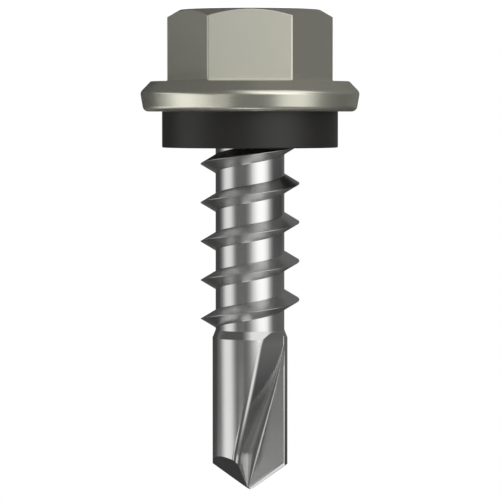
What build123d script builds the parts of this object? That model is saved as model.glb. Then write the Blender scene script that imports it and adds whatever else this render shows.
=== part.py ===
from build123d import *
import os
from math import acos, atan, atan2, cos, degrees, hypot, radians, sin, tan

# Self drilling screw with a flanged hexagon head and a rubber sealing washer.
# It stands on the flat top of its head, drill point up, and Z runs from that face
# to the tip. Sizes are in millimetres and angles in degrees. Angles around the axis
# start at +X and turn anticlockwise as seen from the tip.

# Hexagon of the head
HEX_ACROSS_FLATS = 8.0
HEX_HEIGHT = 3.96
HEX_EDGE_ROUND = 0.08
HEX_TOP_DIA = 7.8
HEX_CHAMFER_ANGLE = 30.0

# Flange forged in one with the hexagon: flat, bevel down to a knee, then a tapered rim
FLANGE_DIA = 12.23
FLANGE_THICKNESS = 1.68
FLANGE_BEVEL_WIDTH = 0.585
FLANGE_BEVEL_DROP = 0.61
FLANGE_RIM_TAPER = 0.185
FLANGE_EDGE_ROUND = 0.33

# Shank
LENGTH_UNDER_HEAD = 21.14
CORE_DIA = 3.84
NECK_CHAMFER = 0.2
SHOULDER_LENGTH = 0.45

# Right-hand thread, with a run-out at each end
THREAD_DIA = 5.51
THREAD_PITCH = 2.163
THREAD_FLANK_ANGLE = 30.0
THREAD_CREST = 0.05
THREAD_RUNOUT = 75.0
THREAD_START_ANGLE = 170.0
THREAD_INTO_WASHER = 0.23
THREAD_TO_SHOULDER = 0.6
THREAD_SUNK = 0.06

# Drill point
DRILL_DIA = 4.19
DRILL_LENGTH = 8.53
POINT_ANGLE = 108.0
RELIEF_SLOPE = 43.7
RELIEF_FROM_FACE = 118.0
CHISEL_EDGE = 0.2

# Flutes: a flat cutting face, a round root and a wall that ends at the heel. The root
# leaves the axis near the tip, climbs evenly and bends out to the surface at the end.
# Its round grows from the tip, is widest a little way below it and shrinks to the end.
FLUTES = 2
FLUTE_LENGTH = 8.15
FLUTE_RUNOUT = 0.75
FLUTE_SECTIONS = 5
FACE_ANGLE = 201.0
WEB = 0.2
ROOT_RISE = 0.285
ROOT_BELOW_TIP = 0.18
ROOT_BEND_LENGTH = 3.15
TIP_OPENING = 98.0
END_OPENING = 53.0
RUNOUT_CLOSING = 8.0
TIP_ROOT_ROUND = 0.08
ROOT_ROUND_GROWTH = 0.285
WIDEST_ROOT_ROUND = 0.64
WIDEST_BELOW_TIP = 2.1
ROOT_ROUND_BLEND = 0.06
END_ROOT_ROUND = 0.04
HEEL_ROUND = 0.2

# Sealing washer
WASHER_DIA = 9.8
WASHER_THICKNESS = 2.0
WASHER_EDGE_ROUND = 0.06
WASHER_FIT = 0.03

# Places along the axis that follow from the sizes above
SEAT_Z = HEX_HEIGHT + FLANGE_THICKNESS
WASHER_FACE_Z = SEAT_Z + WASHER_THICKNESS
TIP_Z = SEAT_Z + LENGTH_UNDER_HEAD
DRILL_Z = TIP_Z - DRILL_LENGTH
SHOULDER_Z = DRILL_Z - SHOULDER_LENGTH
THREAD_START_Z = WASHER_FACE_Z - THREAD_INTO_WASHER
THREAD_END_Z = SHOULDER_Z - THREAD_TO_SHOULDER

CORE_R = CORE_DIA / 2
DRILL_R = DRILL_DIA / 2
POINT_FALL = 1 / tan(radians(POINT_ANGLE / 2))


def around(radius, angle, z=0.0):
    """Point at a radius and an angle around the axis."""
    return Vector(radius * cos(radians(angle)), radius * sin(radians(angle)), z)


def turned(outline):
    """Solid turned around Z from a closed outline in the XZ plane."""
    return revolve(Plane.XZ * outline, Axis.Z)


def hexagon():
    """Hexagon with rounded edges and a chamfered top, flats on -Y and +Y."""
    section = RegularPolygon(HEX_ACROSS_FLATS / 2, 6, major_radius=False)
    section = fillet(section.vertices(), HEX_EDGE_ROUND)
    top = HEX_TOP_DIA / 2
    foot = HEX_ACROSS_FLATS
    fall = (foot - top) * tan(radians(HEX_CHAMFER_ANGLE))
    points = [(0, 0), (top, 0), (foot, fall), (foot, HEX_HEIGHT), (0, HEX_HEIGHT)]
    return extrude(section, HEX_HEIGHT) & turned(make_face(Polyline(*points, close=True)))


def flange():
    """Flange with its bevel, knee and tapered rim."""
    knee = FLANGE_DIA / 2
    points = [
        (0, HEX_HEIGHT),
        (knee - FLANGE_BEVEL_WIDTH, HEX_HEIGHT),
        (knee, HEX_HEIGHT + FLANGE_BEVEL_DROP),
        (knee - FLANGE_RIM_TAPER, SEAT_Z),
        (0, SEAT_Z),
    ]
    outline = make_face(Polyline(*points, close=True))
    rim = outline.vertices().sort_by(Axis.X)[-2:]
    return turned(fillet(rim, FLANGE_EDGE_ROUND))


def core():
    """Plain core of the shank from the seat to the drill point, thicker under the head."""
    points = [
        (0, SEAT_Z),
        (CORE_R + NECK_CHAMFER, SEAT_Z),
        (CORE_R, SEAT_Z + NECK_CHAMFER),
        (CORE_R, DRILL_Z),
        (0, DRILL_Z),
    ]
    return turned(make_face(Polyline(*points, close=True)))


def helix(start_radius, end_radius, start_z, start_angle, sweep):
    """Edge that climbs at the thread's pitch while its radius changes evenly."""
    climb = THREAD_PITCH * sweep / 360
    cone = atan((end_radius - start_radius) / climb)
    edge = Edge.make_helix(THREAD_PITCH / cos(cone), climb, start_radius, angle=degrees(cone))
    return Pos(0, 0, start_z) * Rot(0, 0, start_angle) * edge


def ridge_stretch(start_crest, end_crest, angle, sweep, grow):
    """Four ruled faces of the ridge between two places along the helix."""
    root = CORE_R - THREAD_SUNK
    crest_half = THREAD_CREST / 2 + grow / cos(radians(THREAD_FLANK_ANGLE))
    root_half = crest_half + (THREAD_DIA / 2 - root) * tan(radians(THREAD_FLANK_ANGLE))
    z = THREAD_START_Z + THREAD_PITCH * angle / 360
    turn = THREAD_START_ANGLE + angle
    rails = [
        helix(root, root, z - root_half, turn, sweep),
        helix(start_crest, end_crest, z - crest_half, turn, sweep),
        helix(start_crest, end_crest, z + crest_half, turn, sweep),
        helix(root, root, z + root_half, turn, sweep),
    ]
    return [Face.make_surface_from_curves(rails[i - 1], rails[i]) for i in range(4)], rails


def end_cap(rails, place):
    """Flat face that closes the ridge at one end of its rails."""
    return Face(Wire.make_polygon([rail @ place for rail in rails]))


def ridge(full_sweep, grow=0.0):
    """Solid of the thread's ridge with a run-out before and after its full stretch."""
    crest = THREAD_DIA / 2 + grow
    sunk = CORE_R - THREAD_SUNK / 2
    rise, first = ridge_stretch(sunk, crest, -THREAD_RUNOUT, THREAD_RUNOUT, grow)
    full, _ = ridge_stretch(crest, crest, 0, full_sweep, grow)
    fall, last = ridge_stretch(crest, sunk, full_sweep, THREAD_RUNOUT, grow)
    caps = [end_cap(first, 0), end_cap(last, 1)]
    return Solid(Shell(rise + full + fall + caps))


def flute_section(z, root, root_radius, opening):
    """Outline of one flute across the axis, its cutting face along +X."""
    face_y = WEB / 2
    reach = 2 * DRILL_R
    centre = Vector(root, face_y + root_radius)
    heel = around(DRILL_R, opening)
    sight = heel - centre
    swing = degrees(atan2(sight.Y, sight.X) + acos(root_radius / sight.length))
    face_end = Vector(root, face_y)
    wall_start = centre + around(root_radius, swing)
    middle = centre + around(root_radius, (swing - 90) / 2 + 180)
    wall_end = wall_start + (heel - wall_start).normalized() * reach
    face = Line((reach, face_y), face_end)
    bottom = ThreePointArc(face_end, middle, wall_start)
    wall = Line(wall_start, wall_end)
    back = Line(wall_end, (reach, face_y))
    return Pos(0, 0, z) * make_face([face, bottom, wall, back])


def root_round_at(below_tip):
    """Radius of the root: it grows from the tip, then shrinks towards the end of the flute."""
    near = TIP_ROOT_ROUND + ROOT_ROUND_GROWTH * below_tip
    left = (FLUTE_LENGTH - below_tip) / (FLUTE_LENGTH - WIDEST_BELOW_TIP)
    far = END_ROOT_ROUND + (WIDEST_ROOT_ROUND - END_ROOT_ROUND) * left
    return (near + far - hypot(near - far, ROOT_ROUND_BLEND)) / 2


def flute_section_at(below_tip):
    """Section of one flute at a depth below the tip."""
    share = below_tip / FLUTE_LENGTH
    bend = max(0, below_tip - FLUTE_LENGTH + ROOT_BEND_LENGTH) / ROOT_BEND_LENGTH
    overshoot = ROOT_RISE * (FLUTE_LENGTH - ROOT_BELOW_TIP) - DRILL_R
    root = ROOT_RISE * (below_tip - ROOT_BELOW_TIP) - overshoot * bend**2
    opening = TIP_OPENING + (END_OPENING - TIP_OPENING) * share
    return flute_section(TIP_Z - below_tip, root, root_round_at(below_tip), opening)


def flute():
    """Cutter of one flute, from its run-out on the shoulder to past the tip."""
    step = FLUTE_LENGTH / FLUTE_SECTIONS
    runout_z = TIP_Z - FLUTE_LENGTH - FLUTE_RUNOUT
    runout = flute_section(runout_z, DRILL_R, END_ROOT_ROUND, END_OPENING - RUNOUT_CLOSING)
    sections = [flute_section_at(FLUTE_LENGTH - i * step) for i in range(FLUTE_SECTIONS + 1)]
    past_tip = flute_section_at(-CHISEL_EDGE)
    return loft([runout] + sections + [past_tip])


def drill_blank():
    """Shoulder, drill body and cone before the flutes are cut."""
    point = (DRILL_R - CHISEL_EDGE / 2) * POINT_FALL
    cone_tip = TIP_Z + CHISEL_EDGE / 2 * POINT_FALL
    points = [
        (0, SHOULDER_Z),
        (CORE_R, SHOULDER_Z),
        (DRILL_R, DRILL_Z),
        (DRILL_R, TIP_Z - point),
        (0, cone_tip),
    ]
    return turned(make_face(Polyline(*points, close=True)))


def relief(face_angle):
    """Stock above the flat that is ground behind one cutting face."""
    slope = radians(RELIEF_SLOPE)
    down = around(sin(slope), face_angle + RELIEF_FROM_FACE, cos(slope))
    size = 4 * DRILL_DIA
    stock = Box(size, size, size, align=(Align.CENTER, Align.CENTER, Align.MIN))
    return Plane(origin=(0, 0, TIP_Z), z_dir=down) * stock


def is_heel(edge):
    """True for the long edge where a flute's wall meets the drill body."""
    middle = edge @ 0.5
    turn = (degrees(atan2(middle.Y, middle.X)) - FACE_ANGLE) % (360 / FLUTES)
    on_body = abs(hypot(middle.X, middle.Y) - DRILL_R) < 0.01
    return on_body and edge.length > FLUTE_LENGTH / 2 and END_OPENING / 2 < turn < TIP_OPENING


def thread():
    """Ridge over the whole threaded length."""
    return ridge(360 * (THREAD_END_Z - THREAD_START_Z) / THREAD_PITCH)


def shank():
    """Threaded core and drill body, with the flutes and reliefs cut into them."""
    body = core() + drill_blank() + thread()
    for index in range(FLUTES):
        angle = FACE_ANGLE + index * 360 / FLUTES
        body -= Rot(0, 0, angle) * flute()
        body -= relief(angle)
    return fillet([edge for edge in body.edges() if is_heel(edge)], HEEL_ROUND)


def screw():
    """Whole steel screw, forged and rolled as one piece."""
    return hexagon() + flange() + shank()


def sealing_washer():
    """Rubber ring under the flange, with the groove that the thread presses into it."""
    bore = CORE_R + WASHER_FIT
    neck = NECK_CHAMFER + WASHER_FIT
    points = [
        (bore + neck, SEAT_Z),
        (WASHER_DIA / 2, SEAT_Z),
        (WASHER_DIA / 2, WASHER_FACE_Z),
        (bore, WASHER_FACE_Z),
        (bore, SEAT_Z + neck),
    ]
    outline = make_face(Polyline(*points, close=True))
    edge = outline.vertices().sort_by(Axis.X)[-2:].sort_by(Axis.Y)[-1]
    ring = turned(fillet(edge, WASHER_EDGE_ROUND))
    groove_sweep = 360 * (THREAD_INTO_WASHER + THREAD_DIA / 2 - CORE_R) / THREAD_PITCH
    return ring - ridge(groove_sweep, WASHER_FIT)


os.makedirs("parts", exist_ok=True)
export_step(screw(), "parts/screw.step")
export_step(sealing_washer(), "parts/sealing_washer.step")
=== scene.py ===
import logging
import math
from collections.abc import Callable, Sequence
from dataclasses import dataclass, field
from enum import Enum

import bmesh
import bpy
from mathutils import Matrix, Vector


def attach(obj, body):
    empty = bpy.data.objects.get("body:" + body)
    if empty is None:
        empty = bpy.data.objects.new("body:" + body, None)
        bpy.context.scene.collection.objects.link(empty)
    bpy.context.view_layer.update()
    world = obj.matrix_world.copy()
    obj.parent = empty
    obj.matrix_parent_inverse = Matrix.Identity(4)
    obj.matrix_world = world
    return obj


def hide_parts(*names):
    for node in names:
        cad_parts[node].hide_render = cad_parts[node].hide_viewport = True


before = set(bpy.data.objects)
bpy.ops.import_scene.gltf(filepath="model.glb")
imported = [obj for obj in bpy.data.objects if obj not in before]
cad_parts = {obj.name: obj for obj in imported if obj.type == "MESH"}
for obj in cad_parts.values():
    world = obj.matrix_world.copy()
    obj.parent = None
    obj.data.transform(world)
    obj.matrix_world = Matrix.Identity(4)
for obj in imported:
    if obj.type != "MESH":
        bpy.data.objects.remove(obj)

logging.basicConfig(level=logging.INFO, format="%(name)s: %(message)s")
LOG = logging.getLogger("screw")

# Sizes are in millimetres and angles in degrees. MM turns a size into Blender's metres.
MM = 0.001
BODY = "root"

# Points of a mesh nearer than the first are one point, and edges under the second are dropped.
MERGE_DISTANCE = 2e-4
SLIVER = 1e-4

Point = tuple[float, float]
Triple = tuple[float, float, float]
Value = float | bpy.types.NodeSocket


class Slot(Enum):
    """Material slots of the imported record."""

    STEEL = "zinc_plated_steel"
    PAINT = "head_paint"
    RUBBER = "washer_rubber"


class Joining(Enum):
    """Ways to combine two solids, by their names in the Boolean modifier."""

    ADD = "UNION"
    CUT = "DIFFERENCE"


class Ray(Enum):
    """Outputs of the Light Path node for the rays that see the floor glow."""

    CAMERA = "Is Camera Ray"
    GLOSSY = "Is Glossy Ray"
    TRANSMISSION = "Is Transmission Ray"


def polar(radius: float, degrees: float) -> Vector:
    """Point of the section plane at a radius and an angle."""
    angle = math.radians(degrees)
    return Vector((radius * math.cos(angle), radius * math.sin(angle)))


def arc(centre: Vector, radius: float, start: float, sweep: float, steps: int) -> list[Vector]:
    """Points along an arc, both ends included.

    Args:
        centre: Centre of the arc.
        radius: Radius of the arc.
        start: Angle of the first point, in degrees.
        sweep: Turn from the first to the last point, in degrees.
        steps: Number of equal steps.

    Returns:
        steps + 1 points.
    """
    return [centre + polar(radius, start + sweep * i / steps) for i in range(steps + 1)]


def around(segments: int) -> list[float]:
    """Even angles of a full turn, in degrees."""
    return [360 * i / segments for i in range(segments)]


def rounded(corners: Sequence[tuple[Point, float]], steps: int, guard: float) -> list[Vector]:
    """Open outline with its inner corners rounded and held by guard points.

    Args:
        corners: Each corner and the radius of its round; ends have radius 0.
        steps: Steps of each round.
        guard: Distance of the extra points that keep the flats beside a round flat.

    Returns:
        Points of the outline, always the same number for the same corners.
    """
    points = [Vector(corners[0][0])]
    for i in range(1, len(corners) - 1):
        here, radius = Vector(corners[i][0]), corners[i][1]
        back = (Vector(corners[i - 1][0]) - here).normalized()
        ahead = (Vector(corners[i + 1][0]) - here).normalized()
        half = back.angle(ahead) / 2
        reach = radius / math.tan(half)
        centre = here + (back + ahead).normalized() * radius / math.sin(half)
        first = here + back * reach - centre
        last = here + ahead * reach - centre
        start = math.degrees(math.atan2(first.y, first.x))
        sweep = math.degrees(math.atan2(last.y, last.x)) - start
        sweep = (sweep + 180) % 360 - 180
        points.append(here + back * (reach + guard))
        points += arc(centre, radius, start, sweep, steps)
        points.append(here + ahead * (reach + guard))
    points.append(Vector(corners[-1][0]))
    return points


def mesh_object(
    name: str, vertices: Sequence[Sequence[float]], faces: Sequence[Sequence[int]]
) -> bpy.types.Object:
    """Object with a clean closed mesh whose faces point outwards.

    Args:
        name: Name of the piece.
        vertices: Points in millimetres.
        faces: Corner numbers of each face.

    Returns:
        The new object, linked to the scene.
    """
    mesh = bpy.data.meshes.new(name)
    mesh.from_pydata([Vector(v) * MM for v in vertices], [], faces)
    tidy_mesh(mesh)
    piece = bpy.data.objects.new(name, mesh)
    bpy.context.scene.collection.objects.link(piece)
    return piece


def tidy_mesh(mesh: bpy.types.Mesh) -> None:
    """Merge doubles, drop faces of no area and turn all faces outwards.

    Args:
        mesh: Closed mesh that is changed.
    """
    work = bmesh.new()
    work.from_mesh(mesh)
    bmesh.ops.remove_doubles(work, verts=work.verts, dist=MERGE_DISTANCE * MM)
    bmesh.ops.dissolve_degenerate(work, edges=work.edges, dist=SLIVER * MM)
    bmesh.ops.recalc_face_normals(work, faces=work.faces)
    work.to_mesh(mesh)
    work.free()


def shade(mesh: bpy.types.Mesh, sharp_degrees: float) -> None:
    """Smooth all faces and mark the edges that are sharper than an angle.

    Args:
        mesh: Mesh that is changed.
        sharp_degrees: Angle between two faces from which their edge stays sharp.
    """
    mesh.shade_smooth()
    work = bmesh.new()
    work.from_mesh(mesh)
    limit = math.radians(sharp_degrees)
    for edge in work.edges:
        edge.smooth = len(edge.link_faces) == 2 and edge.calc_face_angle(0.0) < limit
    work.to_mesh(mesh)
    work.free()


def settle(piece: bpy.types.Object, modifier: bpy.types.Modifier) -> None:
    """Turn an object and its modifier into a plain mesh.

    Args:
        piece: Object that is changed.
        modifier: Its modifier, which is then removed.
    """
    evaluated = piece.evaluated_get(bpy.context.evaluated_depsgraph_get())
    mesh = bpy.data.meshes.new_from_object(evaluated)
    piece.modifiers.remove(modifier)
    piece.data = mesh


def turned(
    name: str, outline_at: Callable[[float], list[Vector]], angles: Sequence[float]
) -> bpy.types.Object:
    """Solid swept around Z from an outline that may change with the angle.

    Args:
        name: Name of the piece.
        outline_at: Gives the outline as (radius, height) points at an angle in degrees.
        angles: Angles of the rows of points.

    Returns:
        The closed object. Outlines either start and end on the axis or are rings.
    """
    rows = [outline_at(a) for a in angles]
    count, turns = len(rows[0]), len(rows)
    vertices = []
    for angle, row in zip(angles, rows):
        for point in row:
            spot = polar(point.x, angle)
            vertices.append((spot.x, spot.y, point.y))
    faces = []
    for i in range(turns):
        k = (i + 1) % turns
        for j in range(count - 1):
            faces.append((i * count + j, k * count + j, k * count + j + 1, i * count + j + 1))
    piece = mesh_object(name, vertices, faces)
    LOG.info("%s turned with %d faces", name, len(piece.data.polygons))
    return piece


@dataclass
class Heights:
    """Levels along the axis, in millimetres from the head's top face."""

    hex_foot: float = 3.96
    seat: float = 5.64
    washer_face: float = 7.64
    tip: float = 26.78


@dataclass
class PaintedHead:
    """Hexagon and flange in satin paint.

    The rows of points that make its mesh stand closer together at each corner of the hexagon:
    corner_rows holds their angles from a corner, in degrees, and the rows of the flat follow.
    """

    sides: int = 6
    across_flats: float = 8.0
    edge_round: float = 0.1
    top_dia: float = 7.8
    chamfer_angle: float = 30.0
    flange_dia: float = 12.23
    bevel_width: float = 0.585
    bevel_drop: float = 0.61
    rim_taper: float = 0.185
    rim_round: float = 0.33
    neck_radius: float = 2.0
    top_round: float = 0.03
    chamfer_round: float = 0.04
    foot_round: float = 0.1
    bevel_round: float = 0.1
    round_steps: int = 8
    guard: float = 0.03
    corner_rows: tuple[float, ...] = (0.0, 0.1, 0.2, 0.3, 0.4, 0.5, 0.6, 0.8, 1.1, 1.6)
    flat_start: float = 2.5
    flat_rows: int = 20
    sharp_angle: float = 60.0
    levels: Heights = field(default_factory=Heights)

    def hexagon_radius(self, degrees: float) -> float:
        """Distance of the hexagon's rounded wall from the axis at an angle.

        Args:
            degrees: Angle around the axis; one corner lies at 0.

        Returns:
            Radius in millimetres.
        """
        side = 360 / self.sides
        turn = abs((degrees + side / 2) % side - side / 2)
        flat = self.across_flats / 2
        half, angle = math.radians(side / 2), math.radians(turn)
        centre = (flat - self.edge_round) / math.cos(half)
        limit = math.atan2(self.edge_round * math.sin(half), centre + self.edge_round * math.cos(half))
        if angle > limit:
            return flat / math.cos(math.radians(side / 2 - turn))
        lean = centre * math.cos(angle)
        return lean + math.sqrt(self.edge_round ** 2 - (centre * math.sin(angle)) ** 2)

    def outline_at(self, degrees: float) -> list[Vector]:
        """Outline of the head at one angle, from the top's middle to the flange's seat.

        Args:
            degrees: Angle around the axis.

        Returns:
            Points of the outline, which starts and ends on the axis.
        """
        wall = self.hexagon_radius(degrees)
        top = self.top_dia / 2
        fall = (wall - top) * math.tan(math.radians(self.chamfer_angle))
        knee = self.flange_dia / 2
        foot, seat = self.levels.hex_foot, self.levels.seat
        corners = [
            ((0.0, 0.0), 0.0),
            ((top, 0.0), self.top_round),
            ((wall, fall), self.chamfer_round),
            ((wall, foot), self.foot_round),
            ((knee - self.bevel_width, foot), self.bevel_round),
            ((knee, foot + self.bevel_drop), self.rim_round),
            ((knee - self.rim_taper, seat), self.rim_round),
            ((self.neck_radius, seat), 0.0),
        ]
        return rounded(corners, self.round_steps, self.guard) + [Vector((0.0, seat))]

    def angles(self) -> list[float]:
        """Angles of the rows, closer together at the hexagon's corners.

        Returns:
            Angles of a full turn, in degrees.
        """
        side = 360 / self.sides
        span = side / 2 - self.flat_start
        flat = [self.flat_start + span * i / self.flat_rows for i in range(self.flat_rows)]
        half = [*self.corner_rows, *flat]
        whole = half + [side / 2] + [side - a for a in reversed(half[1:])]
        return [side * k + a for k in range(self.sides) for a in whole]

    def build(self, finish: bpy.types.Material) -> bpy.types.Object:
        """Make the head's mesh.

        Args:
            finish: Material of the head.

        Returns:
            The finished object.
        """
        piece = turned("painted_head", self.outline_at, self.angles())
        piece.data.materials.append(finish)
        shade(piece.data, self.sharp_angle)
        return piece


@dataclass
class ThreadRidge:
    """Single-start right-hand ridge with a run-out at each end, made by geometry nodes."""

    major_dia: float = 5.51
    core_dia: float = 3.84
    pitch: float = 2.163
    flank_angle: float = 30.0
    crest: float = 0.02
    runout: float = 75.0
    start_angle: float = 170.0
    start_z: float = 7.41
    end_z: float = 17.2
    sunk: float = 0.06
    steps_per_turn: int = 180
    section_points: int = 5

    def inputs(self) -> dict[str, float]:
        """Values of the tree's named inputs.

        Returns:
            Input name to value, lengths in metres and angles in radians.
        """
        root = self.core_dia / 2 - self.sunk
        top = self.major_dia / 2
        flank = math.radians(self.flank_angle)
        sweep = 360 * (self.end_z - self.start_z) / self.pitch
        steps = round(self.steps_per_turn * (sweep + 2 * self.runout) / 360)
        return {
            "Steps": steps,
            "Root Radius": root * MM,
            "Sunk Radius": (root + self.sunk / 2) * MM,
            "Crest Radius": top * MM,
            "Crest Half Width": self.crest / 2 * MM,
            "Root Half Width": (self.crest / 2 + (top - root) * math.tan(flank)) * MM,
            "Pitch": self.pitch * MM,
            "Start Height": self.start_z * MM,
            "Start Angle": math.radians(self.start_angle),
            "Full Turn": math.radians(sweep),
            "Run-out": math.radians(self.runout),
        }

    def tree(self) -> bpy.types.GeometryNodeTree:
        """Node tree that bends a grid into the ridge.

        The grid's rows across become the section's lower root, lower crest, upper crest, upper
        root and lower root again. Its first and last columns shrink to points on the core.

        Returns:
            The tree, which ends in Realize Instances and Set Material.
        """
        tree = bpy.data.node_groups.new("Thread Ridge", "GeometryNodeTree")
        tree.interface.new_socket("Geometry", in_out="INPUT", socket_type="NodeSocketGeometry")
        for name in self.inputs():
            kind = "NodeSocketInt" if name == "Steps" else "NodeSocketFloat"
            tree.interface.new_socket(name, in_out="INPUT", socket_type=kind)
        tree.interface.new_socket("Finish", in_out="INPUT", socket_type="NodeSocketMaterial")
        tree.interface.new_socket("Geometry", in_out="OUTPUT", socket_type="NodeSocketGeometry")
        sums = Sums(tree)
        given = tree.nodes.new("NodeGroupInput").outputs
        # The grid is 1 long and 1 wide, around the origin.
        middle, row = 0.5, 1 / (self.section_points - 1)
        counts = {"Vertices X": given["Steps"], "Vertices Y": self.section_points}
        grid = sums.node("GeometryNodeMeshGrid", {"Size X": 1.0, "Size Y": 1.0} | counts)
        place = sums.axes(sums.node("GeometryNodeInputPosition", {}).outputs[0])
        along, across = sums.add(place["X"], middle), sums.add(place["Y"], middle)
        on_crest = sums.math("LESS_THAN", sums.distance(across, 1.5 * row), row)
        upper = sums.math("LESS_THAN", sums.distance(across, 2.5 * row), row)
        last_column = sums.subtract(middle, sums.divide(middle, given["Steps"]))
        at_end = sums.math("GREATER_THAN", sums.distance(along, middle), last_column)
        whole = sums.add(given["Full Turn"], sums.multiply(given["Run-out"], 2.0))
        turn = sums.multiply(along, whole)
        near_end = sums.math("MINIMUM", turn, sums.subtract(whole, turn))
        height = sums.math("MINIMUM", sums.divide(near_end, given["Run-out"]), 1.0)
        crest = sums.blend(given["Sunk Radius"], given["Crest Radius"], height)
        radius = sums.blend(given["Root Radius"], crest, on_crest)
        half = sums.blend(given["Root Half Width"], given["Crest Half Width"], on_crest)
        side = sums.subtract(sums.multiply(upper, 2.0), 1.0)
        offset = sums.multiply(sums.multiply(half, side), sums.subtract(1.0, at_end))
        advance = sums.subtract(turn, given["Run-out"])
        angle = sums.add(given["Start Angle"], advance)
        climb = sums.divide(sums.multiply(given["Pitch"], advance), 2 * math.pi)
        level = sums.add(sums.add(given["Start Height"], climb), offset)
        radius = sums.blend(radius, given["Sunk Radius"], at_end)
        spot = sums.node("ShaderNodeCombineXYZ", {
            "X": sums.multiply(radius, sums.math("COSINE", angle)),
            "Y": sums.multiply(radius, sums.math("SINE", angle)),
            "Z": level,
        })
        moves = {"Geometry": grid.outputs["Mesh"], "Position": spot.outputs[0]}
        bent = sums.node("GeometryNodeSetPosition", moves)
        real = sums.node("GeometryNodeRealizeInstances", {"Geometry": bent.outputs[0]})
        finish = {"Geometry": real.outputs[0], "Material": given["Finish"]}
        dressed = sums.node("GeometryNodeSetMaterial", finish)
        result = tree.nodes.new("NodeGroupOutput")
        tree.links.new(dressed.outputs[0], result.inputs[0])
        return tree

    def build(self, finish: bpy.types.Material) -> bpy.types.Object:
        """Make the ridge as a plain closed mesh.

        Args:
            finish: Material of the ridge.

        Returns:
            The ridge's object, with no modifier left.
        """
        holder = mesh_object("thread", [(0, 0, 0)], [])
        modifier = holder.modifiers.new("ridge", "NODES")
        modifier.node_group = self.tree()
        values = self.inputs() | {"Finish": finish}
        for item in modifier.node_group.interface.items_tree:
            if item.in_out == "INPUT" and item.name in values:
                modifier[item.identifier] = values[item.name]
        settle(holder, modifier)
        tidy_mesh(holder.data)
        return holder


class Sums:
    """Short names for the math nodes of one tree."""

    def __init__(self, tree: bpy.types.NodeTree) -> None:
        """Keep the tree that the nodes are added to."""
        self.tree = tree

    def node(self, kind: str, inputs: dict[str | int, object], **settings: object) -> bpy.types.Node:
        """Add a node and fill or link its inputs.

        Args:
            kind: Node type.
            inputs: Input name or number to a value or an output socket.
            settings: Properties of the node.

        Returns:
            The new node.
        """
        made = self.tree.nodes.new(kind)
        for key, value in settings.items():
            setattr(made, key, value)
        for key, value in inputs.items():
            if isinstance(value, bpy.types.NodeSocket):
                self.tree.links.new(value, made.inputs[key])
            else:
                made.inputs[key].default_value = value
        return made

    def math(self, operation: str, *values: Value) -> bpy.types.NodeSocket:
        """Output of a math node with the given values or sockets."""
        return self.node("ShaderNodeMath", dict(enumerate(values)), operation=operation).outputs[0]

    def add(self, a: Value, b: Value) -> bpy.types.NodeSocket:
        """Sum of two values."""
        return self.math("ADD", a, b)

    def subtract(self, a: Value, b: Value) -> bpy.types.NodeSocket:
        """First value less the second."""
        return self.math("SUBTRACT", a, b)

    def multiply(self, a: Value, b: Value) -> bpy.types.NodeSocket:
        """Product of two values."""
        return self.math("MULTIPLY", a, b)

    def divide(self, a: Value, b: Value) -> bpy.types.NodeSocket:
        """First value over the second."""
        return self.math("DIVIDE", a, b)

    def distance(self, a: Value, b: Value) -> bpy.types.NodeSocket:
        """Distance between two values."""
        return self.math("ABSOLUTE", self.subtract(a, b))

    def blend(self, a: Value, b: Value, share: Value) -> bpy.types.NodeSocket:
        """First value at share 0, second at share 1."""
        return self.add(a, self.multiply(self.subtract(b, a), share))

    def step(self, value: Value, start: float, end: float) -> bpy.types.NodeSocket:
        """Soft step from 0 to 1.

        Args:
            value: Value that is looked at.
            start: Value where the step is 0.
            end: Value where the step is 1.

        Returns:
            Socket of the step.
        """
        bounds = {"Value": value, "From Min": start, "From Max": end}
        made = self.node("ShaderNodeMapRange", bounds, interpolation_type="SMOOTHSTEP")
        return made.outputs["Result"]

    def place(self) -> bpy.types.NodeSocket:
        """Place of the shaded spot in Object coordinates."""
        return self.node("ShaderNodeTexCoord", {}).outputs["Object"]

    def axes(self, vector: bpy.types.NodeSocket) -> bpy.types.NodeOutputs:
        """Parts X, Y and Z of a vector."""
        return self.node("ShaderNodeSeparateXYZ", {0: vector}).outputs

    def length(self, vector: bpy.types.NodeSocket) -> bpy.types.NodeSocket:
        """Length of a vector."""
        return self.node("ShaderNodeVectorMath", {0: vector}, operation="LENGTH").outputs["Value"]


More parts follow.
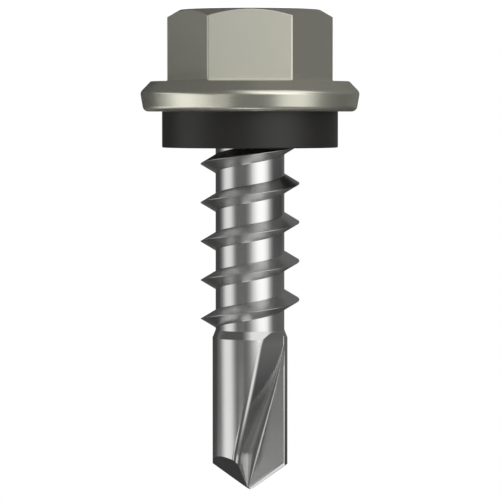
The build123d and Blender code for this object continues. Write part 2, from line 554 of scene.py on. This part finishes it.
@dataclass
class Flutes:
    """Two opposite flutes with flat cutting faces, round roots and rounded heels.

    A flute's outline runs from the cutting face's inner border round the root, up the wall and
    round the heel, then outside the body and back over the lip along the cutting face. Its root
    moves away from the axis by root_rise for each millimetre below the tip, and bends over the
    last root_bend_length so that it meets the body's surface at the flute's end. The angle that
    a flute takes up goes from tip_opening to end_opening, and closes a little in the run-out.
    """

    count: int = 2
    length: float = 8.15
    runout: float = 0.75
    face_angle: float = 201.0
    web: float = 0.2
    root_rise: float = 0.285
    root_below_tip: float = 0.18
    root_shift: float = 0.12
    root_bend_length: float = 3.15
    tip_opening: float = 96.6
    end_opening: float = 53.4
    runout_closing: float = 8.0
    tip_root_round: float = 0.03
    widest_root_round: float = 0.64
    widest_below_tip: float = 2.1
    root_round_blend: float = 0.06
    end_root_round: float = 0.04
    tip_heel_round: float = 0.26
    end_heel_round: float = 0.55
    heel_stop: float = 3.0
    lip_round: float = 0.1
    least_lip: float = 0.004
    lip_inset: float = 0.03
    lip_guard: float = 0.01
    step_round: float = 0.03
    step_depth: float = 0.008
    step_arc: float = 50.0
    guard: float = 0.02
    past_tip: float = 0.6
    past_body: float = 2.0
    arc_steps: int = 32
    lip_steps: int = 10
    step_steps: int = 6
    sections: int = 150

    def section(
        self, body: float, root: float, root_round: float, opening: float, heel_round: float
    ) -> list[Vector]:
        """Closed outline of one flute, its cutting face along the first axis.

        Args:
            body: Radius of the drill body.
            root: Distance from the axis to where the cutting face meets the root.
            root_round: Radius of the root.
            opening: Angle from the cutting face to the heel, in degrees.
            heel_round: Radius of the heel.

        Returns:
            Points of the outline, always the same number.
        """
        face = self.web / 2
        centre = Vector((root - self.step_round, face - self.step_depth + root_round))
        sight = polar(body, opening) - centre
        swing = math.degrees(math.atan2(sight.y, sight.x) + math.acos(root_round / sight.length))
        bottom = arc(centre, root_round, -90, swing - 270, self.arc_steps)
        along = (polar(body, opening) - bottom[-1]).normalized()
        into = Vector((-along.y, along.x))
        start = bottom[-1] + into * heel_round
        lean = start.dot(along)
        reach = math.sqrt(max(lean ** 2 - start.length_squared + (body - heel_round) ** 2, 0)) - lean
        heel = start + along * reach
        first = math.degrees(math.atan2(-into.y, -into.x))
        last = math.degrees(math.atan2(heel.y, heel.x)) - self.heel_stop
        corner = arc(heel, heel_round, first, (last - first) % 360, self.arc_steps // 2)
        wall = [bottom[-1] + along * self.guard, corner[0] - along * self.guard]
        lip = self.lip(body, root)
        border = Vector((root, face - self.step_round))
        step = arc(border, self.step_round, 90, self.step_arc, self.step_steps)
        outer = [point.normalized() * body * self.past_body for point in (corner[-1], lip[0])]
        inner = [Vector((root + self.guard, face))]
        return bottom + wall + corner + outer + lip + inner + step

    def lip(self, body: float, root: float) -> list[Vector]:
        """Rounded outer edge of the cutting face, from the body's surface onto the face.

        Args:
            body: Radius of the drill body.
            root: Distance from the axis to where the cutting face meets the root.

        Returns:
            Points of the edge.
        """
        face = self.web / 2
        width = math.sqrt(body ** 2 - face ** 2) - root
        size = min(self.lip_round, max(self.least_lip, width / 2))
        place = math.sqrt((body - size) ** 2 - (face - size) ** 2)
        centre = Vector((max(place, root + self.lip_inset), face - size))
        end = math.degrees(math.atan2(centre.y, centre.x))
        edge = arc(centre, size, end, 90 - end, self.lip_steps)
        return edge + [Vector((centre.x - self.lip_guard, face))]

    def section_at(self, body: float, below_tip: float) -> list[Vector]:
        """Outline of one flute at a depth below the tip.

        Args:
            body: Radius of the drill body.
            below_tip: Depth below the tip, negative above it.

        Returns:
            Points of the outline. Past the flute's length, it closes towards the surface.
        """
        share = below_tip / self.length
        heel_growth = self.end_heel_round - self.tip_heel_round
        heel_round = self.tip_heel_round + heel_growth * max(0.0, min(share, 1.0))
        if share > 1:
            share = (below_tip - self.length) / self.runout
            opening = self.end_opening - self.runout_closing * share
            return self.section(body, body, self.end_root_round, opening, heel_round)
        bend = max(0.0, below_tip - self.length + self.root_bend_length) / self.root_bend_length
        overshoot = self.root_rise * (self.length - self.root_below_tip) - body
        root = self.root_rise * (below_tip - self.root_below_tip) - overshoot * bend ** 2
        opening = self.tip_opening + (self.end_opening - self.tip_opening) * share
        root_round = self.root_round_at(max(0.0, below_tip))
        return self.section(body, root + self.root_shift * root_round, root_round, opening, heel_round)

    def root_round_at(self, below_tip: float) -> float:
        """Radius of the root, which grows from the tip and then shrinks towards the flute's end.

        Args:
            below_tip: Depth below the tip.

        Returns:
            Radius in millimetres.
        """
        near = self.tip_root_round + self.root_rise * below_tip
        left = (self.length - below_tip) / (self.length - self.widest_below_tip)
        far = self.end_root_round + (self.widest_root_round - self.end_root_round) * left
        return (near + far - math.hypot(near - far, self.root_round_blend)) / 2

    def cutter(self, body: float, tip: float, angle: float) -> bpy.types.Object:
        """Solid that cuts one flute.

        Args:
            body: Radius of the drill body.
            tip: Height of the tip.
            angle: Angle of the cutting face.

        Returns:
            The cutter's object.
        """
        whole = self.length + self.runout + self.past_tip
        depths = [-self.past_tip + whole * i / self.sections for i in range(self.sections + 1)]
        turn = Matrix.Rotation(math.radians(angle), 2)
        rows = [[turn @ p for p in self.section_at(body, depth)] for depth in depths]
        count = len(rows[0])
        vertices = [(p.x, p.y, tip - depth) for depth, row in zip(depths, rows) for p in row]
        faces = [tuple(range(count)), tuple(range(len(vertices) - count, len(vertices)))]
        for start in range(0, len(vertices) - count, count):
            for j in range(count):
                k = (j + 1) % count
                faces.append((start + j, start + k, start + count + k, start + count + j))
        return mesh_object("flute", vertices, faces)


@dataclass(frozen=True)
class Bevel:
    """Flat that breaks a cutting edge.

    It starts at a distance from the edge along the face and at a depth below the face, both in
    millimetres, and is tilted from the face by some degrees.
    """

    start: float
    depth: float
    tilt: float


@dataclass
class PlatedShank:
    """Zinc-plated shank: neck, threaded core, shoulder and fluted drill point.

    Each relief is a flat through the tip. Its normal leans by relief_slope from the axis, towards
    the side that lies relief_from_face past the cutting face.
    """

    drill_dia: float = 4.19
    drill_length: float = 8.53
    shoulder_length: float = 0.45
    point_angle: float = 108.0
    relief_slope: float = 43.7
    relief_from_face: float = 118.0
    chisel_edge: float = 0.2
    bevels: tuple[Bevel, ...] = (
        Bevel(start=0.21, depth=0.0, tilt=14.0),
        Bevel(start=0.12, depth=0.0225, tilt=32.0),
    )
    bevel_inset: float = 0.06
    bevel_block: Triple = (3.0, 0.4, 0.12)
    bevel_shift: float = 0.1
    neck_inset: float = 0.5
    segments: int = 256
    sharp_angle: float = 12.5
    levels: Heights = field(default_factory=Heights)
    ridge: ThreadRidge = field(default_factory=ThreadRidge)
    flutes: Flutes = field(default_factory=Flutes)

    def blank(self) -> bpy.types.Object:
        """Turned blank: core, shoulder, body and cone.

        Returns:
            The blank's object.
        """
        core, body = self.ridge.core_dia / 2, self.drill_dia / 2
        fall = 1 / math.tan(math.radians(self.point_angle / 2))
        tip, drill = self.levels.tip, self.levels.tip - self.drill_length
        cone_tip = tip + self.chisel_edge / 2 * fall
        corner = cone_tip - body * fall
        outline = [
            Vector((0.0, self.levels.seat - self.neck_inset)),
            Vector((core, self.levels.seat - self.neck_inset)),
            Vector((core, drill - self.shoulder_length)),
            Vector((body, drill)),
            Vector((body, corner)),
            Vector((0.0, cone_tip)),
        ]
        return turned("plated_shank", lambda _: outline, around(self.segments))

    def relief(self, face_angle: float) -> bpy.types.Object:
        """Block above the flat that is ground behind one cutting face.

        Args:
            face_angle: Angle of the cutting face.

        Returns:
            The block's object.
        """
        slope, aside = math.radians(self.relief_slope), math.radians(face_angle + self.relief_from_face)
        block = mesh_object("relief", *cube_shape(self.drill_dia * 2))
        turn = Matrix.Rotation(aside, 4, "Z") @ Matrix.Rotation(slope, 4, "Y")
        block.data.transform(Matrix.Translation((0, 0, self.levels.tip * MM)) @ turn)
        return block

    def edge_bevel(self, face_angle: float, bevel: Bevel) -> bpy.types.Object:
        """Thin block that cuts one bevel on one cutting edge.

        Args:
            face_angle: Angle of the cutting face.
            bevel: Bevel to be cut.

        Returns:
            The block's object.
        """
        fall, tilt = math.radians(90 - self.point_angle / 2), math.radians(bevel.tilt)
        along = Vector((math.cos(fall), 0, -math.sin(fall)))
        face, cone = Vector((0, 1, 0)), Vector((math.sin(fall), 0, math.cos(fall)))
        outward = face * math.cos(tilt) + cone * math.sin(tilt)
        across = cone * math.cos(tilt) - face * math.sin(tilt)
        tip = Vector((0, self.flutes.web / 2, self.levels.tip + self.chisel_edge / 2 * math.tan(fall)))
        middle = tip + along * (self.bevel_inset + self.bevel_block[0] / 2) - cone * bevel.start
        origin = middle - face * bevel.depth + across * self.bevel_shift
        block = mesh_object("edge_bevel", *cube_shape(1.0))
        turn = Matrix((along, -across, outward)).transposed().to_4x4()
        block.data.transform(turn @ Matrix.Diagonal((*self.bevel_block, 1.0)))
        block.data.transform(Matrix.Translation(origin * MM))
        block.data.transform(Matrix.Rotation(math.radians(face_angle), 4, "Z"))
        return block

    def build(self, finish: bpy.types.Material) -> bpy.types.Object:
        """Make the shank's mesh.

        Args:
            finish: Material of the shank.

        Returns:
            The finished object.
        """
        shank = self.blank()
        shank.data.materials.append(finish)
        combine(shank, self.ridge.build(finish), Joining.ADD)
        for i in range(self.flutes.count):
            angle = self.flutes.face_angle + 360 * i / self.flutes.count
            flute = self.flutes.cutter(self.drill_dia / 2, self.levels.tip, angle)
            combine(shank, flute, Joining.CUT)
            combine(shank, self.relief(angle), Joining.CUT)
            for bevel in self.bevels:
                combine(shank, self.edge_bevel(angle, bevel), Joining.CUT)
        tidy_mesh(shank.data)
        shade(shank.data, self.sharp_angle)
        LOG.info("plated_shank has %d faces", len(shank.data.polygons))
        return shank


def cube_shape(size: float) -> tuple[list[Triple], list[tuple[int, ...]]]:
    """Corners and faces of a cube that stands on the middle of its lower face.

    Args:
        size: Length of an edge.

    Returns:
        Corners of the cube, and the corner numbers of its faces.
    """
    half = size / 2
    corners = [(x, y, z) for x in (-half, half) for y in (-half, half) for z in (0.0, size)]
    faces = [(0, 1, 3, 2), (4, 6, 7, 5), (0, 4, 5, 1), (2, 3, 7, 6), (0, 2, 6, 4), (1, 5, 7, 3)]
    return corners, faces


def combine(piece: bpy.types.Object, other: bpy.types.Object, joining: Joining) -> None:
    """Join or cut a piece with another object, which is then removed.

    Args:
        piece: Object that is changed.
        other: Object that is added or cut away.
        joining: How they are combined.
    """
    modifier = piece.modifiers.new("combine", "BOOLEAN")
    modifier.object = other
    modifier.operation = joining.value
    modifier.solver = "EXACT"
    settle(piece, modifier)
    bpy.data.objects.remove(other)


@dataclass
class SealingWasher:
    """Rubber ring under the flange."""

    outer_dia: float = 9.8
    bore_dia: float = 3.9
    edge_round: float = 0.06
    round_steps: int = 6
    guard: float = 0.02
    segments: int = 256
    sharp_angle: float = 40.0
    levels: Heights = field(default_factory=Heights)

    def build(self, finish: bpy.types.Material) -> bpy.types.Object:
        """Make the ring's mesh.

        Args:
            finish: Rubber material.

        Returns:
            The finished object.
        """
        inner, outer = self.bore_dia / 2, self.outer_dia / 2
        seat, face = self.levels.seat, self.levels.washer_face
        corners = [
            ((inner, seat), 0.0),
            ((outer, seat), self.edge_round / 2),
            ((outer, face), self.edge_round),
            ((inner, face), 0.0),
        ]
        outline = rounded(corners, self.round_steps, self.guard)
        outline.append(outline[0])
        piece = turned("rubber_washer", lambda _: outline, around(self.segments))
        piece.data.materials.append(finish)
        shade(piece.data, self.sharp_angle)
        return piece


@dataclass
class View:
    """Camera that stands where the photograph was taken, held upside down.

    Lengths are in millimetres, but the focal length and the frame are in pixels.
    """

    distance: float = 164.5
    height: float = 5.5
    aim_height: float = 13.361
    focal_px: float = 2950.0
    frame_px: float = 500.0
    sensor: float = 36.0
    near_clip: float = 10.0
    far_clip: float = 10000.0

    def build(self) -> None:
        """Place the camera in front of the object, rolled so that the head is up."""
        spot = Vector((0.0, -self.distance, self.height)) * MM
        ahead = (Vector((0.0, 0.0, self.aim_height)) * MM - spot).normalized()
        up = -(Vector((0, 0, 1)) - ahead * ahead.z).normalized()
        right = ahead.cross(up)
        data = bpy.data.cameras.new("camera")
        data.sensor_width = self.sensor
        data.lens = self.sensor * self.focal_px / self.frame_px
        data.clip_start = self.near_clip * MM
        data.clip_end = self.far_clip * MM
        camera = bpy.data.objects.new("camera", data)
        turn = Matrix((right, up, -ahead)).transposed().to_4x4()
        camera.matrix_world = Matrix.Translation(spot) @ turn
        bpy.context.scene.collection.objects.link(camera)
        bpy.context.scene.camera = camera


@dataclass(frozen=True)
class Patch:
    """Soft-edged patch of the tent.

    Its left and right are bearings from the camera's side, rising towards the picture's right,
    and low and high are angles above the horizon of the picture. Each pair is where the edge
    starts and where the patch is in full, in degrees. An opening lets a share of the white world
    through, its clear value, and a shade is cloth with a glow of its own. Slant shifts the sides
    by that many degrees for each degree of height.
    """

    left: Point
    right: Point
    low: Point
    high: Point
    clear: float = 0.0
    glow: float = 0.0
    slant: float = 0.0


def bare_material(name: str) -> tuple[bpy.types.Material, Sums]:
    """New material without any node.

    Args:
        name: Name of the material.

    Returns:
        The material, and the helper that makes nodes in its tree.
    """
    material = bpy.data.materials.new(name)
    material.use_nodes = True
    material.node_tree.nodes.clear()
    return material, Sums(material.node_tree)


@dataclass
class Tent:
    """Dark cloth around the object with soft openings, through which the white world lights it."""

    openings: tuple[Patch, ...] = (
        Patch(left=(-117, -85), right=(-48, -74), low=(-50, -20), high=(20, 4), clear=0.84, slant=1.3),
        Patch(left=(-140, -106), right=(-58, -76), low=(-32, -24), high=(-8, -15), clear=0.75),
        Patch(left=(-18, 31), right=(86, 40), low=(-8, -5), high=(30, 14), clear=1.0, slant=0.4),
        Patch(left=(-14, 26), right=(104, 80), low=(8, 22), high=(75, 50), clear=0.7, slant=0.4),
        Patch(left=(17, 42), right=(86, 61), low=(-25, -19), high=(-3, -8), clear=0.66),
        Patch(left=(-37, -32), right=(-16, -22), low=(-17, -14), high=(-8.5, -10.5), clear=0.9),
        Patch(left=(-28, -18), right=(24, 12), low=(-68, -60), high=(-45, -51), clear=0.95),
    )
    shades: tuple[Patch, ...] = (
        Patch(left=(60, 95), right=(155, 125), low=(-3.6, -1.8), high=(1, -1), glow=0.03),
        Patch(left=(85, 115), right=(190, 180), low=(-95, -90), high=(-4, -10), glow=0.06),
        Patch(left=(-190, -180), right=(-85, -115), low=(-95, -90), high=(-12, -35), glow=0.046),
        Patch(left=(-14, 0), right=(70, 50), low=(-95, -90), high=(-8, -14), glow=0.09),
        Patch(left=(5, 25), right=(95, 75), low=(-95, -90), high=(-27, -33), glow=0.2),
        Patch(left=(-190, -180), right=(20, 0), low=(10, 22), high=(95, 90), glow=0.1),
        Patch(left=(-190, -180), right=(-112, -124), low=(-14, -8), high=(30, 20), glow=0.06),
        Patch(left=(-66, -56), right=(-6, -14), low=(-46, -40), high=(-17, -21), glow=0.01),
    )
    radius: float = 300.0
    middle: float = 13.0
    cloth: float = 0.14
    segments: int = 96
    rows: int = 48

    def mask(self, sums: Sums, patch: Patch, bearing: Value, climb: Value) -> bpy.types.NodeSocket:
        """Share of a patch, 0 outside and 1 inside.

        Args:
            sums: Helper that makes nodes in the cloth's tree.
            patch: Patch to be masked.
            bearing: Bearing of the shaded spot, in radians.
            climb: Its height above the horizon, in radians.

        Returns:
            Socket of the share.
        """
        leaning = sums.add(bearing, sums.multiply(climb, patch.slant)) if patch.slant else bearing
        edges = [(leaning, patch.left), (leaning, patch.right), (climb, patch.low), (climb, patch.high)]
        share = 1.0
        for value, (start, full) in edges:
            share = sums.multiply(share, sums.step(value, math.radians(start), math.radians(full)))
        return share

    def material(self) -> bpy.types.Material:
        """Cloth that is clear in the openings.

        Returns:
            The finished material.
        """
        material, sums = bare_material("tent_cloth")
        spot = sums.place()
        right, near, up = (sums.multiply(part, -1.0) for part in sums.axes(spot))
        bearing = sums.math("ARCTAN2", right, near)
        climb = sums.math("ARCSINE", sums.divide(up, sums.length(spot)))
        clear = 0.0
        for patch in self.openings:
            clear = sums.add(clear, sums.multiply(self.mask(sums, patch, bearing, climb), patch.clear))
        clear = sums.math("MINIMUM", clear, 1.0)
        glow = self.cloth
        for patch in self.shades:
            glow = sums.blend(glow, patch.glow, self.mask(sums, patch, bearing, climb))
        cloth = sums.node("ShaderNodeEmission", {"Strength": glow})
        hole = sums.node("ShaderNodeBsdfTransparent", {})
        mixed = sums.node("ShaderNodeMixShader", {0: clear, 1: cloth.outputs[0], 2: hole.outputs[0]})
        sums.node("ShaderNodeOutputMaterial", {"Surface": mixed.outputs[0]})
        return material

    def build(self) -> None:
        """Make the tent, which the camera doesn't see."""
        mesh = bpy.data.meshes.new("tent")
        work = bmesh.new()
        counts = {"u_segments": self.segments, "v_segments": self.rows}
        bmesh.ops.create_uvsphere(work, radius=self.radius * MM, **counts)
        work.to_mesh(mesh)
        work.free()
        mesh.materials.append(self.material())
        tent = bpy.data.objects.new("tent", mesh)
        tent.location.z = self.middle * MM
        tent.visible_camera = False
        bpy.context.scene.collection.objects.link(tent)


@dataclass
class Floor:
    """Pale floor under the head that fades into the white behind."""

    radius: float = 15.0
    solid: float = 7.5
    drop: float = 0.02
    color: float = 0.8
    glow: float = 0.95
    segments: int = 96

    def build(self) -> None:
        """Make the floor."""
        material, sums = bare_material("floor")
        away = sums.length(sums.place())
        fade = sums.step(away, self.radius * MM, self.solid * MM)
        path = sums.node("ShaderNodeLightPath", {}).outputs
        seen = 0.0
        for ray in Ray:
            seen = sums.math("MAXIMUM", seen, path[ray.value])
        matt = sums.node("ShaderNodeBsdfDiffuse", {"Color": (self.color, self.color, self.color, 1)})
        glow = sums.node("ShaderNodeEmission", {"Strength": sums.multiply(seen, self.glow)})
        lit = sums.node("ShaderNodeAddShader", {0: matt.outputs[0], 1: glow.outputs[0]})
        hole = sums.node("ShaderNodeBsdfTransparent", {})
        mixed = sums.node("ShaderNodeMixShader", {0: fade, 1: hole.outputs[0], 2: lit.outputs[0]})
        sums.node("ShaderNodeOutputMaterial", {"Surface": mixed.outputs[0]})
        rim = [(*polar(self.radius, angle), -self.drop) for angle in around(self.segments)]
        floor = mesh_object("floor", rim, [range(self.segments)])
        floor.data.materials.append(material)
        floor.visible_glossy = False
        floor.visible_diffuse = False


@dataclass
class Lamp:
    """Soft lamp behind an opening of the tent, aimed at the object.

    Its bearing and climb are angles as in the tent's patches, and its lengths are in millimetres.
    """

    name: str
    bearing: float
    climb: float
    width: float
    height: float
    radiance: float
    distance: float = 420.0
    aim_height: float = 13.0

    def build(self) -> None:
        """Make the lamp."""
        aside, up = math.radians(self.bearing), math.radians(self.climb)
        level = math.cos(up)
        toward = Vector((-math.sin(aside) * level, -math.cos(aside) * level, -math.sin(up)))
        data = bpy.data.lights.new(self.name, "AREA")
        data.shape = "RECTANGLE"
        data.size = self.width * MM
        data.size_y = self.height * MM
        data.energy = self.radiance * math.pi * data.size * data.size_y
        lamp = bpy.data.objects.new(self.name, data)
        lamp.location = (toward * self.distance + Vector((0, 0, self.aim_height))) * MM
        lamp.rotation_euler = toward.to_track_quat("Z", "Y").to_euler()
        bpy.context.scene.collection.objects.link(lamp)


def white_world() -> None:
    """Plain white surroundings."""
    world = bpy.data.worlds.new("world")
    world.use_nodes = True
    background = world.node_tree.nodes["Background"]
    background.inputs["Color"].default_value = (1.0, 1.0, 1.0, 1.0)
    background.inputs["Strength"].default_value = 1.0
    bpy.context.scene.world = world


def add_group(name: str, outputs: Sequence[str], inputs: dict[str, float]) -> bpy.types.NodeTree:
    """Empty shader node group with named number sockets.

    Args:
        name: Name of the group.
        outputs: Name of each output.
        inputs: Name and value of each input.

    Returns:
        The group with its input and output nodes.
    """
    number = "NodeSocketFloat"
    group = bpy.data.node_groups.new(name, "ShaderNodeTree")
    for label in outputs:
        group.interface.new_socket(label, in_out="OUTPUT", socket_type=number)
    for label, value in inputs.items():
        socket = group.interface.new_socket(label, in_out="INPUT", socket_type=number)
        socket.default_value = value
    group.nodes.new("NodeGroupInput")
    group.nodes.new("NodeGroupOutput")
    return group


CLOUD_DETAIL = 3.0
CLOUD_ROUGHNESS = 0.55


def handling_group() -> bpy.types.NodeTree:
    """Soft clouds left by coating and handling, as a factor for colour and a shift for gloss.

    Returns:
        The group. Each material gives the clouds' size in millimetres and their depths.
    """
    values = {"Cloud Size": 2.0, "Shade Depth": 0.04, "Gloss Depth": 0.03}
    group = add_group("Handling", ["Shade", "Gloss Shift"], values)
    sums = Sums(group)
    given = group.nodes["Group Input"].outputs
    scale = sums.divide(1.0, sums.multiply(given["Cloud Size"], MM))
    fineness = {"Detail": CLOUD_DETAIL, "Roughness": CLOUD_ROUGHNESS}
    clouds = sums.node("ShaderNodeTexNoise", {"Vector": sums.place(), "Scale": scale} | fineness)
    swing = sums.multiply(sums.subtract(clouds.outputs[0], 0.5), 2.0)
    shade_factor = sums.add(1.0, sums.multiply(swing, given["Shade Depth"]))
    shift = sums.multiply(swing, given["Gloss Depth"])
    taken = group.nodes["Group Output"].inputs
    group.links.new(shade_factor, taken["Shade"])
    group.links.new(shift, taken["Gloss Shift"])
    return group


def grain_group() -> bpy.types.NodeTree:
    """Fine uneven surface as a height between 0 and 1.

    Returns:
        The group. Each material gives the grain's size in millimetres.
    """
    group = add_group("Fine Grain", ["Height"], {"Grain Size": 0.3, "Detail": 2.0})
    sums = Sums(group)
    given = group.nodes["Group Input"].outputs
    scale = sums.divide(1.0, sums.multiply(given["Grain Size"], MM))
    looks = {"Vector": sums.place(), "Scale": scale, "Detail": given["Detail"]}
    grain = sums.node("ShaderNodeTexNoise", looks)
    group.links.new(grain.outputs[0], group.nodes["Group Output"].inputs["Height"])
    return group


@dataclass(frozen=True)
class Finish:
    """Surface finish of one material.

    Lengths are in millimetres. Rings are fine turning or drawing marks around the axis. A
    dullness is roughness that is added on the thread's flanks or in the flutes. It starts at the
    first of its two radii and is in full at the second, and the flanks end at flank_end.
    """

    name: str
    color: Triple
    metallic: float
    roughness: float
    cloud_size: float
    shade_depth: float
    gloss_depth: float
    grain_size: float
    grain_height: float
    ring_pitch: float = 0.0
    ring_height: float = 0.0
    ring_detail: float = 2.0
    flank_dullness: float = 0.0
    flute_dullness: float = 0.0
    flank_radii: Point = (1.93, 2.0)
    flute_radii: Point = (2.06, 1.98)
    flank_end: float = 17.7

    def build(self, handling: bpy.types.NodeTree, grain: bpy.types.NodeTree) -> bpy.types.Material:
        """Make the material.

        Args:
            handling: Shared group of soft clouds.
            grain: Shared group of fine grain.

        Returns:
            The finished material.
        """
        material = bpy.data.materials.new(self.name)
        material.use_nodes = True
        tree = material.node_tree
        shader = tree.nodes["Principled BSDF"]
        shader.inputs["Metallic"].default_value = self.metallic
        sums = Sums(tree)
        values = {
            "Cloud Size": self.cloud_size,
            "Shade Depth": self.shade_depth,
            "Gloss Depth": self.gloss_depth,
        }
        clouds = sums.node("ShaderNodeGroup", values, node_tree=handling)
        shaded = {0: self.color, "Scale": clouds.outputs["Shade"]}
        tone = sums.node("ShaderNodeVectorMath", shaded, operation="SCALE")
        tree.links.new(tone.outputs["Vector"], shader.inputs["Base Color"])
        roughness = sums.add(self.roughness, clouds.outputs["Gloss Shift"])
        if self.flank_dullness:
            roughness = sums.add(roughness, self.dull_areas(sums))
        tree.links.new(roughness, shader.inputs["Roughness"])
        fine = sums.node("ShaderNodeGroup", {"Grain Size": self.grain_size}, node_tree=grain)
        height = sums.multiply(fine.outputs["Height"], self.grain_height * MM)
        if self.ring_height:
            height = sums.add(height, self.rings(sums))
        bump = sums.node("ShaderNodeBump", {"Height": height, "Distance": 1.0})
        tree.links.new(bump.outputs["Normal"], shader.inputs["Normal"])
        return material

    def dull_areas(self, sums: Sums) -> bpy.types.NodeSocket:
        """Extra roughness on the rolled flanks, which stand out from the core, and in the flutes.

        Args:
            sums: Helper that makes nodes in the material's tree.

        Returns:
            Socket of the extra roughness.
        """
        axes = sums.axes(sums.place())
        squares = [sums.multiply(axes[name], axes[name]) for name in "XY"]
        aside = sums.math("SQRT", sums.add(*squares))
        flank = sums.multiply(self.within(sums, aside, self.flank_radii), self.flank_dullness)
        flute = sums.multiply(self.within(sums, aside, self.flute_radii), self.flute_dullness)
        return sums.blend(flank, flute, sums.math("GREATER_THAN", axes["Z"], self.flank_end * MM))

    def within(self, sums: Sums, aside: bpy.types.NodeSocket, span: Point) -> bpy.types.NodeSocket:
        """Even step from 0 at the first radius to 1 at the second, both in millimetres."""
        bounds = {"Value": aside, "From Min": span[0] * MM, "From Max": span[1] * MM}
        return sums.node("ShaderNodeMapRange", bounds).outputs["Result"]

    def rings(self, sums: Sums) -> bpy.types.NodeSocket:
        """Height of the marks around the axis, uneven from mark to mark.

        Args:
            sums: Helper that makes nodes in the material's tree.

        Returns:
            Socket of the height, in metres.
        """
        level = sums.axes(sums.place())["Z"]
        turns = sums.divide(level, self.ring_pitch * MM)
        looks = {"W": turns, "Scale": 1.0, "Detail": self.ring_detail}
        marks = sums.node("ShaderNodeTexNoise", looks, noise_dimensions="1D")
        return sums.multiply(marks.outputs[0], self.ring_height * MM)


@dataclass(frozen=True)
class Finishes:
    """Finishes of the three materials."""

    steel: Finish = Finish(
        name="plated_steel",
        color=(0.8, 0.8, 0.79),
        metallic=1.0,
        roughness=0.15,
        cloud_size=1.6,
        shade_depth=0.03,
        gloss_depth=0.02,
        grain_size=0.5,
        grain_height=0.0004,
        ring_pitch=0.16,
        ring_height=0.0002,
        flank_dullness=0.14,
        flute_dullness=0.02,
    )
    paint: Finish = Finish(
        name="painted_head",
        color=(0.915, 0.908, 0.772),
        metallic=0.86,
        roughness=0.24,
        cloud_size=2.6,
        shade_depth=0.025,
        gloss_depth=0.02,
        grain_size=0.32,
        grain_height=0.0012,
    )
    rubber: Finish = Finish(
        name="black_rubber",
        color=(0.0345, 0.0333, 0.031),
        metallic=0.0,
        roughness=0.37,
        cloud_size=1.4,
        shade_depth=0.12,
        gloss_depth=0.04,
        grain_size=0.18,
        grain_height=0.003,
    )


def dress(piece: bpy.types.Object, node: str, slot: Slot) -> None:
    """Ride a piece on the body and let it stand for its node.

    Args:
        piece: Finished piece.
        node: Node of the CAD model that it replaces.
        slot: Material slot of the record.
    """
    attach(piece, BODY)
    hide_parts(node)
    LOG.info("%s stands for %s in slot %s", piece.name, node, slot.value)


def main() -> None:
    """Build the studio and the pieces in order."""
    bpy.context.scene.view_settings.view_transform = "Standard"
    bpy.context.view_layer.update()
    View().build()
    handling, grain = handling_group(), grain_group()
    finishes = Finishes()
    steel = finishes.steel.build(handling, grain)
    paint = finishes.paint.build(handling, grain)
    rubber = finishes.rubber.build(handling, grain)
    head = PaintedHead().build(paint)
    shank = PlatedShank().build(steel)
    washer = SealingWasher().build(rubber)
    dress(head, "screw", Slot.PAINT)
    dress(shank, "screw", Slot.STEEL)
    dress(washer, "sealing_washer", Slot.RUBBER)
    Lamp(name="key_lamp", bearing=34.0, climb=10.0, width=500.0, height=700.0, radiance=0.25).build()
    Tent().build()
    Floor().build()
    white_world()


if __name__ == "__main__":
    main()
